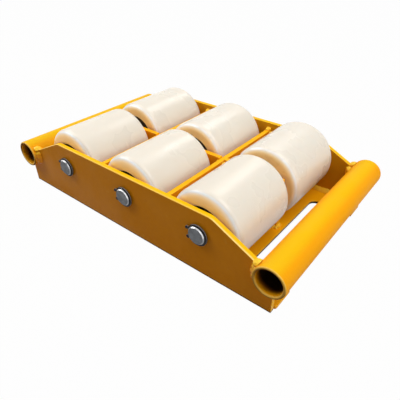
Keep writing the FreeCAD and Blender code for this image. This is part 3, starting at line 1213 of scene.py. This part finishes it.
@dataclass
class WeldBeads:
    """The frame's fillet welds: rippled beads, with lumps on some and spatter beside others."""

    slices_per_ripple: int = 8
    section_steps: int = 9
    ripple_power: float = 0.7
    crown_share: float = 0.85
    toe_share: float = 0.5
    bow_share: float = 0.55
    wobble_share: float = 0.10
    wobble_lengths: tuple[float, ...] = (31.0 * MM, 13.0 * MM, 5.5 * MM)
    end_taper_share: float = 0.8
    end_size_share: float = 0.30
    root_gap: float = 0.1 * MM
    end_gap: float = 1.5 * MM
    side_leg: float = 5.0 * MM
    side_weld_stop: float = 16.0 * MM
    upright_leg: float = 4.5 * MM
    return_leg: float = 3.6 * MM
    centre_end_leg: float = 3.2 * MM
    handle_leg: float = 5.2 * MM
    handle_first_angle: float = math.radians(156.9)
    handle_last_angle: float = math.radians(218.0)
    slope_leg: float = 5.4 * MM
    slope_overrun: float = 0.2 * MM
    slope_outer_overrun: float = 4.2 * MM
    slope_angle: float = math.radians(153.95)
    knob_radius: float = 3.1 * MM
    lump_spacing: float = 4.5 * MM
    lump_sizes: tuple[float, float] = (0.8 * MM, 1.5 * MM)
    lump_span: tuple[float, float] = (0.15, 0.85)
    lump_lean: tuple[float, float] = (0.25, 0.75)
    lump_sink: float = 0.72
    spatter_spacing: float = 16.0 * MM
    spatter_sizes: tuple[float, float] = (0.25 * MM, 0.60 * MM)
    spatter_crowding: int = 2
    drop_rings: int = 4
    drop_sides: int = 8
    seed: int = 41
    sharp_angle: float = math.radians(48.0)
    finish: Finish = WELD_PAINT

    def __post_init__(self) -> None:
        """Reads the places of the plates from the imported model."""
        self.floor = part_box("load_plate")[1][2]
        self.side_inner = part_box("side_plate_left")[0][1]
        self.side_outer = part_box("side_plate_left")[1][1]
        self.centre_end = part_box("centre_plate")[1][0]
        self.centre_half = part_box("centre_plate")[1][1]
        cross_low, cross_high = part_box("cross_plate_front")
        self.cross_half = (cross_high[0] - cross_low[0]) / 2
        self.cross_x = cross_high[0] - self.cross_half
        self.cross_top = cross_high[2]
        self.side_weld_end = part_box("side_plate_welds")[1][0] - self.side_weld_stop
        tube_low, tube_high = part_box("handle_tube_front")
        self.tube_radius = (tube_high[0] - tube_low[0]) / 2
        self.tube_x = tube_high[0] - self.tube_radius
        self.tube_z = tube_high[2] - self.tube_radius

    def stretches(self, reach: float) -> tuple[tuple[float, float], ...]:
        """Splits a lengthwise weld at the cross plates.

        Args:
            reach: How far the weld goes from the middle.

        Returns:
            The start and end of each stretch along X.
        """
        gap = self.cross_half + self.upright_leg + self.end_gap
        inner = self.cross_x - gap
        outer = self.cross_x + gap
        return (-reach, -outer), (-inner, inner), (outer, reach)

    def long_paths(self, half: float, facing: int, reach: float, leg: float) -> Iterator[BeadPath]:
        """Gives the beads along the load plate on both sides of the middle.

        Args:
            half: How far they lie from the middle.
            facing: 1 where they face outward, -1 where they face the middle.
            reach: How far they go towards the ends.
            leg: The length of each leg.

        Returns:
            The beads, one after the other.
        """
        for side in Side:
            y = side.value * half
            for low, high in self.stretches(reach):
                yield BeadPath.straight(Vector((low, y, self.floor)), Vector((high, y, self.floor)),
                                        along_y(facing * side.value), UP, leg)

    def side_paths(self) -> Iterator[BeadPath]:
        """Gives the beads along the inner corners of the load plate and the side plates."""
        return self.long_paths(self.side_inner, -1, self.side_weld_end, self.side_leg)

    def centre_paths(self) -> Iterator[BeadPath]:
        """Gives the beads along the foot of the centre plate and across its ends.

        Returns:
            The beads, one after the other.
        """
        yield from self.long_paths(self.centre_half, 1, self.centre_end, self.upright_leg)
        reach = self.centre_half + self.centre_end_leg
        for end in End:
            x = end.value * self.centre_end
            yield BeadPath.straight(Vector((x, -reach, self.floor)), Vector((x, reach, self.floor)),
                                    along_x(end.value), UP, self.centre_end_leg, COARSE_RIPPLE)

    def cross_paths(self) -> Iterator[BeadPath]:
        """Gives the upright beads of the cross plates, with a short return over each end.

        Returns:
            The beads, one after the other.
        """
        foot = self.floor + max(self.side_leg, self.upright_leg) + self.end_gap
        top = self.cross_top - self.end_gap
        reach = self.cross_half + self.end_gap / 2
        for end in End:
            middle = end.value * self.cross_x
            for face in (-1, 1):
                x = middle + face * self.cross_half
                for side in Side:
                    inward = along_y(-side.value)
                    for half, leg in ((self.side_inner, inward), (self.centre_half, -inward)):
                        y = side.value * half
                        yield BeadPath.straight(Vector((x, y, foot)), Vector((x, y, top)),
                                                along_x(face), leg, self.upright_leg)
            for side in Side:
                y = side.value * self.side_inner
                yield BeadPath.straight(Vector((middle - reach, y, self.cross_top)),
                                        Vector((middle + reach, y, self.cross_top)),
                                        along_y(-side.value), UP, self.return_leg)

    def handle_paths(self) -> Iterator[BeadPath]:
        """Gives the beads at the handle tubes, on both faces and on the edge of each side plate.

        Returns:
            The beads, one after the other.
        """
        root_radius = self.tube_radius + self.root_gap
        lean_x = math.cos(self.slope_angle)
        lean_z = math.sin(self.slope_angle)
        for end in End:
            outer_ripple = COARSE_RIPPLE if end is End.FRONT else FINE_RIPPLE
            tube_x = end.value * self.tube_x
            down = Vector((end.value * lean_x, 0.0, lean_z))
            up = Vector((end.value * lean_z, 0.0, -lean_x))
            root = Vector((tube_x, 0.0, self.tube_z)) + down * self.tube_radius
            for side in Side:
                for face, outward, ripple in ((self.side_inner, -side.value, FINE_RIPPLE),
                                              (self.side_outer, side.value, outer_ripple)):
                    middle = Vector((tube_x, side.value * face, self.tube_z))
                    yield BeadPath.ring(middle, root_radius, self.handle_first_angle,
                                        self.handle_last_angle, end.value, outward,
                                        self.handle_leg, ripple)
                inner = side.value * (self.side_inner - self.slope_overrun)
                outer = side.value * (self.side_outer + self.slope_outer_overrun)
                yield BeadPath.straight(root + along_y(inner), root + along_y(outer),
                                        down, up, self.slope_leg)

    def wobble(self, chance: random.Random) -> Callable[[float], float]:
        """Makes a slow unevenness of a bead's size.

        Args:
            chance: The source of random numbers.

        Returns:
            A function from the place along the bead to a size of about 1.
        """
        waves = [(FULL_TURN / length, chance.uniform(0.0, FULL_TURN))
                 for length in self.wobble_lengths]
        share = self.wobble_share / len(waves)
        return lambda run: 1.0 + share * sum(math.sin(run * rate + start) for rate, start in waves)

    def section(self, path: BeadPath, run: float, size: float, shift: float) -> list[Vector]:
        """Draws one slice across a bead.

        Args:
            path: The bead.
            run: How far along the bead the slice is.
            size: The bead's size there, about 1.
            shift: How far the ripples are moved along.

        Returns:
            The points from the toe of the first leg to the toe of the second.
        """
        root, first, second = path.place(run)
        from_end = max(0.0, min(run, path.length - run)) / (self.end_taper_share * path.leg)
        taper = math.sqrt(1.0 - (1.0 - min(from_end, 1.0)) ** 2)
        scale = path.leg * size * (self.end_size_share + (1.0 - self.end_size_share) * taper)
        points = []
        for step in range(self.section_steps + 1):
            turn = step / self.section_steps
            swell = math.sin(math.pi * turn)
            phase = (run + shift + self.bow_share * path.leg * swell) / path.ripple.pitch
            ripple = abs(math.sin(math.pi * phase)) ** self.ripple_power
            deep = self.toe_share + (1.0 - self.toe_share) * swell
            dip = path.ripple.share * (1.0 - ripple) * deep
            reach = 1.0 - (1.0 - self.crown_share) * swell - dip
            angle = QUARTER_TURN * turn
            away = first * math.cos(angle) + second * math.sin(angle)
            points.append(root + away * (scale * reach))
        return points

    def add_bead(self, mesh: bmesh.types.BMesh, path: BeadPath, chance: random.Random) -> None:
        """Adds one closed bead to a mesh.

        Args:
            mesh: The mesh.
            path: The bead.
            chance: The source of random numbers.
        """
        slices = round(path.length / path.ripple.pitch * self.slices_per_ripple)
        count = max(self.slices_per_ripple, slices)
        size = self.wobble(chance)
        shift = chance.uniform(0.0, path.ripple.pitch)
        rows = []
        for index in range(count + 1):
            run = path.length * index / count
            ring = [path.place(run)[0]] + self.section(path, run, size(run), shift)
            rows.append([mesh.verts.new(point) for point in ring])
        for row, following in zip(rows, rows[1:]):
            for index in range(len(row)):
                after = (index + 1) % len(row)
                mesh.faces.new((row[index], row[after], following[after], following[index]))
        mesh.faces.new(rows[0])
        mesh.faces.new(rows[-1])

    def add_drop(self, mesh: bmesh.types.BMesh, place: Vector, out: Vector, along: Vector,
                 size: float) -> None:
        """Adds a half-round drop of weld metal to a mesh.

        Args:
            mesh: The mesh.
            place: Where it lies.
            out: The direction that it stands out in.
            along: A direction across that one.
            size: Its radius.
        """
        across = out.cross(along).normalized()
        rings = []
        for level in range(self.drop_rings):
            tilt = QUARTER_TURN * level / self.drop_rings
            lift = out * (size * math.sin(tilt))
            rings.append([])
            for side in range(self.drop_sides):
                angle = FULL_TURN * side / self.drop_sides
                away = along * math.cos(angle) + across * math.sin(angle)
                rings[-1].append(mesh.verts.new(place + lift + away * (size * math.cos(tilt))))
        tip = mesh.verts.new(place + out * size)
        for ring, above in zip(rings, rings[1:]):
            for side in range(self.drop_sides):
                after = (side + 1) % self.drop_sides
                mesh.faces.new((ring[side], ring[after], above[after], above[side]))
        for side in range(self.drop_sides):
            mesh.faces.new((rings[-1][side], rings[-1][(side + 1) % self.drop_sides], tip))
        mesh.faces.new(rings[0])

    def add_spatter(self, mesh: bmesh.types.BMesh, path: BeadPath, chance: random.Random) -> None:
        """Scatters drops beside a bead, on the face of its first leg.

        Args:
            mesh: The mesh.
            path: The bead.
            chance: The source of random numbers.
        """
        toe = path.leg * (1.0 + self.wobble_share)
        for _ in range(round(path.length / self.spatter_spacing)):
            root, first, second = path.place(chance.uniform(path.leg, path.length - path.leg))
            away = toe + chance.random() ** self.spatter_crowding * path.spatter_room
            size = chance.uniform(*self.spatter_sizes)
            self.add_drop(mesh, root + first * away, second, first, size)

    def add_lumps(self, mesh: bmesh.types.BMesh, path: BeadPath, chance: random.Random) -> None:
        """Sets round lumps on the crown of a coarse bead.

        Args:
            mesh: The mesh.
            path: The bead.
            chance: The source of random numbers.
        """
        for _ in range(round(path.length / self.lump_spacing)):
            root, first, second = path.place(chance.uniform(*self.lump_span) * path.length)
            lean = chance.uniform(*self.lump_lean) * QUARTER_TURN
            out = first * math.cos(lean) + second * math.sin(lean)
            place = root + out * (path.leg * self.lump_sink)
            size = chance.uniform(*self.lump_sizes)
            self.add_drop(mesh, place, out, first.cross(second), size)

    def add_knobs(self, mesh: bmesh.types.BMesh) -> None:
        """Sets a round knob of weld on each end of the cross plates.

        Args:
            mesh: The mesh.
        """
        for end in End:
            for side in Side:
                y = side.value * (self.side_inner - self.knob_radius)
                place = Vector((end.value * self.cross_x, y, self.cross_top))
                self.add_drop(mesh, place, UP, along_x(1.0), self.knob_radius)

    def place_piece(self, node: str, shape: bmesh.types.BMesh) -> None:
        """Puts one group of beads in the place of its node.

        Args:
            node: The node of the plain beads.
            shape: The rippled beads.
        """
        bmesh.ops.recalc_face_normals(shape, faces=shape.faces)
        mesh = bpy.data.meshes.new(node + "_rippled")
        shape.to_mesh(mesh)
        shape.free()
        mesh.shade_smooth()
        mesh.set_sharp_from_angle(angle=self.sharp_angle)
        piece = bpy.data.objects.new(node + "_rippled", mesh)
        bpy.context.scene.collection.objects.link(piece)
        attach(piece, "frame")
        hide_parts(node)
        self.finish.dress(piece)

    def build(self) -> None:
        """Builds the four groups of beads in place of the plain ones."""
        groups = {
            "side_plate_welds": self.side_paths,
            "centre_plate_welds": self.centre_paths,
            "cross_plate_welds": self.cross_paths,
            "handle_welds": self.handle_paths,
        }
        chance = random.Random(self.seed)
        for node, paths in groups.items():
            shape = bmesh.new()
            for path in paths():
                self.add_bead(shape, path, chance)
                if path.ripple is COARSE_RIPPLE:
                    self.add_lumps(shape, path, chance)
                elif node != "handle_welds":
                    self.add_spatter(shape, path, chance)
            if node == "cross_plate_welds":
                self.add_knobs(shape)
            self.place_piece(node, shape)


@dataclass
class WeldedFrame:
    """The plates and handle tubes of the frame."""

    finishes: dict[str, Finish] = field(default_factory=lambda: {
        "load_plate": PLATE_PAINT,
        "centre_plate": PLATE_PAINT,
        "cross_plate_front": CROSS_PAINT,
        "cross_plate_rear": CROSS_PAINT,
        "side_plate_left": SIDE_PAINT,
        "side_plate_right": SIDE_PAINT,
        "handle_tube_front": TUBE_PAINT,
        "handle_tube_rear": TUBE_PAINT,
    })

    def dress(self) -> None:
        """Paints the plates and the tubes."""
        for node, finish in self.finishes.items():
            finish.dress(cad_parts[node])


@dataclass
class AxleSet:
    """The axles, with their spacers and retaining rings."""

    finishes: dict[str, Finish] = field(default_factory=lambda: {
        "axle": AXLE_STEEL,
        "end_spacers": SPACER_STEEL,
        "bearing_spacers": SPACER_STEEL,
    })
    ring_finish: Finish = RETAINING_RING_BLACK

    def dress(self) -> None:
        """Finishes the axles, the spacers and the rings."""
        for axle in Axle:
            for kind, finish in self.finishes.items():
                finish.dress(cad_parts[f"{kind}_{axle.value}"])
        self.ring_finish.dress(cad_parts["axle_retaining_rings"])


@dataclass
class RollerSet:
    """The nylon rollers and the sealed bearings that they turn on."""

    finishes: dict[str, Finish] = field(default_factory=lambda: {
        "roller": ROLLER_NYLON,
        "bearing_outer_rings": OUTER_RING_BLACK,
        "bearing_seals": SEAL_RUBBER,
        "bearing_cages": CAGE_NYLON,
        "bearing_balls": BALL_STEEL,
    })
    inner_ring_finish: Finish = RACE_STEEL

    def dress(self) -> None:
        """Finishes each roller and the pieces of its bearings."""
        for axle in Axle:
            self.inner_ring_finish.dress(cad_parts[f"bearing_inner_rings_{axle.value}"])
            for side in Side:
                for kind, finish in self.finishes.items():
                    finish.dress(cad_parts[f"{kind}_{axle.value}_{side.name.lower()}"])


@dataclass(frozen=True)
class Softbox:
    """A square white lamp with a soft, even light."""

    name: str
    place: tuple[float, float, float]
    size: float
    power: float
    aim: tuple[float, float, float] = (0.0, 0.0, 0.04)

    def build(self) -> None:
        """Places the lamp and turns it to its aim."""
        lamp = bpy.data.lights.new(self.name, "AREA")
        lamp.size = self.size
        lamp.energy = self.power
        piece = bpy.data.objects.new(self.name, lamp)
        piece.location = self.place
        towards = Vector(self.aim) - Vector(self.place)
        piece.rotation_euler = towards.to_track_quat("-Z", "Y").to_euler()
        bpy.context.scene.collection.objects.link(piece)
        LOG.info("%s: lamp", self.name)


@dataclass
class Studio:
    """The pale floor, the white surroundings and the lamps."""

    floor_half: float = 4.0
    floor_colour: Colour = (0.30, 0.26, 0.22, 1.0)
    floor_whiteness: float = 0.985
    ambient: Colour = (0.03, 0.03, 0.03, 1.0)
    lamps: tuple[Softbox, ...] = (
        Softbox("front_high_lamp", (0.468, -0.06, 1.19), 0.8, 7.8),
        Softbox("rear_high_lamp", (-0.468, -0.10, 1.19), 0.8, 3.1),
        Softbox("front_lamp", (0.958, 0.0, 0.844), 0.8, 3.0),
        Softbox("front_low_lamp", (1.223, 0.0, 0.300), 0.8, 3.9),
        Softbox("rear_lamp", (-0.958, -0.16, 0.83), 0.6, 4.1),
        Softbox("near_rear_lamp", (-0.85, -0.45, 0.70), 0.22, 2.3),
        Softbox("far_lamp", (-0.17, 0.80, 0.99), 0.42, 2.0),
    )

    def seen_directly(self, bench: NodeBench) -> Socket:
        """Masks the rays from the camera and those in reflections and glass."""
        path = bench.add("ShaderNodeLightPath").outputs
        return bench.largest(path["Is Camera Ray"], path["Is Glossy Ray"],
                             path["Is Transmission Ray"])

    def floor_material(self) -> bpy.types.Material:
        """Makes the floor's material, a pale diffuse one that looks nearly white and keeps shadows.

        Returns:
            The material.
        """
        material = bpy.data.materials.new("pale_studio_floor")
        material.use_nodes = True
        bench = NodeBench(material.node_tree)
        bench.tree.nodes.remove(bench.tree.nodes["Principled BSDF"])
        matt = bench.add("ShaderNodeBsdfDiffuse")
        matt.inputs["Color"].default_value = self.floor_colour
        glow = bench.add("ShaderNodeEmission")
        glow.inputs["Color"].default_value = WHITE
        mix = bench.add("ShaderNodeMixShader")
        white_share = bench.times(self.seen_directly(bench), self.floor_whiteness)
        bench.feed(mix.inputs["Fac"], white_share)
        bench.feed(mix.inputs[1], matt.outputs["BSDF"])
        bench.feed(mix.inputs[2], glow.outputs["Emission"])
        bench.feed(bench.tree.nodes["Material Output"].inputs["Surface"], mix.outputs["Shader"])
        return material

    def build_floor(self) -> None:
        """Lays the floor at the height that the skate lies on."""
        half = self.floor_half
        height = CAD_BOX[0][2]
        mesh = bpy.data.meshes.new("studio_floor")
        corners = [(x * half, y * half, height) for x, y in ((-1, -1), (1, -1), (1, 1), (-1, 1))]
        mesh.from_pydata(corners, [], [(0, 1, 2, 3)])
        floor = bpy.data.objects.new("studio_floor", mesh)
        bpy.context.scene.collection.objects.link(floor)
        mesh.materials.append(self.floor_material())
        LOG.info("studio_floor: stage")

    def build_world(self) -> None:
        """Makes the surroundings white to look at, with a plain dim light on the skate."""
        world = bpy.data.worlds.new("studio_world")
        world.use_nodes = True
        bench = NodeBench(world.node_tree)
        seen = bench.blend(self.seen_directly(bench), self.ambient, WHITE)
        bench.feed(bench.tree.nodes["Background"].inputs["Color"], seen)
        bpy.context.scene.world = world

    def build(self) -> None:
        """Builds the floor, the surroundings and the lamps."""
        self.build_floor()
        self.build_world()
        for lamp in self.lamps:
            lamp.build()


@dataclass(frozen=True)
class PhotoCamera:
    """The camera at the photograph's viewing angle."""

    azimuth: float = math.radians(39.104)
    elevation: float = math.radians(34.952)
    roll: float = math.radians(-0.306)
    distance: float = 452.40 * MM
    target: tuple[float, float, float] = (51.20 * MM, -42.91 * MM, 30.22 * MM)
    focal_pixels: float = 387.91
    image_pixels: float = 400.0
    sensor_width: float = 36.0

    def build(self) -> None:
        """Places the camera and makes it the scene's own."""
        camera = bpy.data.cameras.new("photo_camera")
        camera.sensor_width = self.sensor_width
        camera.lens = self.focal_pixels / self.image_pixels * self.sensor_width
        camera.clip_start = MM
        flat = math.cos(self.elevation)
        back = Vector((math.sin(self.azimuth) * flat, -math.cos(self.azimuth) * flat,
                       math.sin(self.elevation)))
        piece = bpy.data.objects.new("photo_camera", camera)
        piece.location = Vector(self.target) + back * self.distance
        level = (-back).to_track_quat("-Z", "Y")
        piece.rotation_euler = (Quaternion(back, self.roll) @ level).to_euler()
        bpy.context.scene.collection.objects.link(piece)
        bpy.context.scene.camera = piece
        LOG.info("photo_camera: camera")


def main() -> None:
    """Builds and dresses the skate, then the studio and the camera."""
    logging.basicConfig(level=logging.INFO, format="%(name)s: %(message)s")
    bpy.context.scene.view_settings.view_transform = "Standard"
    WeldedFrame().dress()
    WeldBeads().build()
    AxleSet().dress()
    RollerSet().dress()
    Studio().build()
    PhotoCamera().build()


if __name__ == "__main__":
    main()
